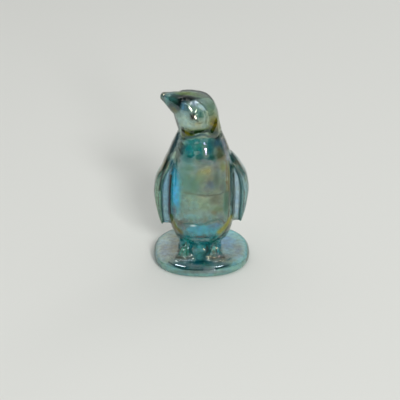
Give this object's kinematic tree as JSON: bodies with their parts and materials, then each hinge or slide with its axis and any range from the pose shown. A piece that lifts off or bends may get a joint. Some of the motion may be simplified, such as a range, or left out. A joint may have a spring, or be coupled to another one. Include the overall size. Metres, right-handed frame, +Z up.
{
  "type": "penguin figurine",
  "caption": "Small pressed-glass penguin standing on a round pad, head turned over its right shoulder with the beak raised and both flippers held out from the body.",
  "frame": {"origin": "centre of the pad's underside, which is the bottom centre of the bounding box", "axes": "+Z up through the penguin; the penguin's chest faces -Y; its left side is +X, and its beak turns towards -X"},
  "size_m": [0.0524, 0.0524, 0.095],
  "materials": {
    "iridescent_glass": "clear blue-green pressed glass, fire polished, with a thin iridescent film"
  },
  "bodies": {
    "root": {"pad": "iridescent_glass", "torso": "iridescent_glass", "head": "iridescent_glass", "beak": "iridescent_glass", "left_eye": "iridescent_glass", "right_eye": "iridescent_glass", "left_flipper": "iridescent_glass", "right_flipper": "iridescent_glass", "left_web": "iridescent_glass", "right_web": "iridescent_glass", "post": "iridescent_glass", "tail": "iridescent_glass", "left_foot": "iridescent_glass", "right_foot": "iridescent_glass"}
  },
  "joints": []
}
